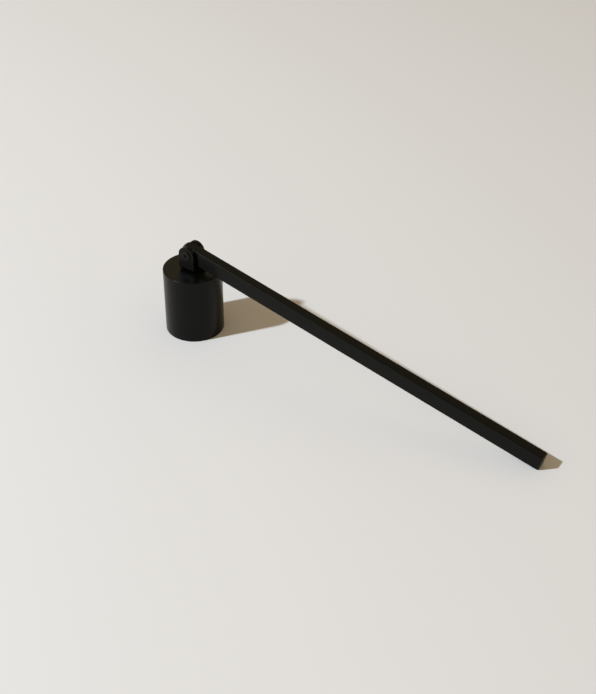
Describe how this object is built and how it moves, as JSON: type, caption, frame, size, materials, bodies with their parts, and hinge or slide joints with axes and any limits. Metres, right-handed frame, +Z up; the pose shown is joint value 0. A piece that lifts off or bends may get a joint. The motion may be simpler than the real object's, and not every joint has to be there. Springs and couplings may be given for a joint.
{
  "type": "candle snuffer",
  "caption": "Candle snuffer: a small cylindrical bell with a clevis on its crown and a long flat-sided bar handle hinged in it, shown resting on the bell's rim and the handle's tip.",
  "frame": {"origin": "centre of the bell's open mouth, in the plane of its rim, which is the plane the snuffer rests on", "axes": "+Z up along the bell's axis towards the crown and the clevis; +X along the handle as seen from above, from the pivot to the tip; Y along the pivot pin, with the barrel's low flat head on the -Y side"},
  "size_m": [0.1944, 0.0274, 0.045],
  "materials": {
    "bell_coating": "satin black coating on steel",
    "clevis_coating": "satin black coating on steel",
    "handle_coating": "satin black coating on steel",
    "blackened_steel": "black oxide, lightly oiled",
    "black_nylon": "matte"
  },
  "bodies": {
    "bell_head": {"bell": "bell_coating", "clevis": "clevis_coating", "bell_screw": "blackened_steel", "bell_lock_washer": "blackened_steel", "pivot_barrel": "blackened_steel", "pivot_screw": "blackened_steel", "pivot_washers": "black_nylon"},
    "handle_arm": {"handle": "handle_coating"}
  },
  "joints": [
    {"name": "handle_pivot", "type": "hinge", "parent": "bell_head", "child": "handle_arm", "pos_m": [0, 0, 0.0408], "axis": [0, -1, 0], "range_deg": [-6.4, 209.9]}
  ]
}
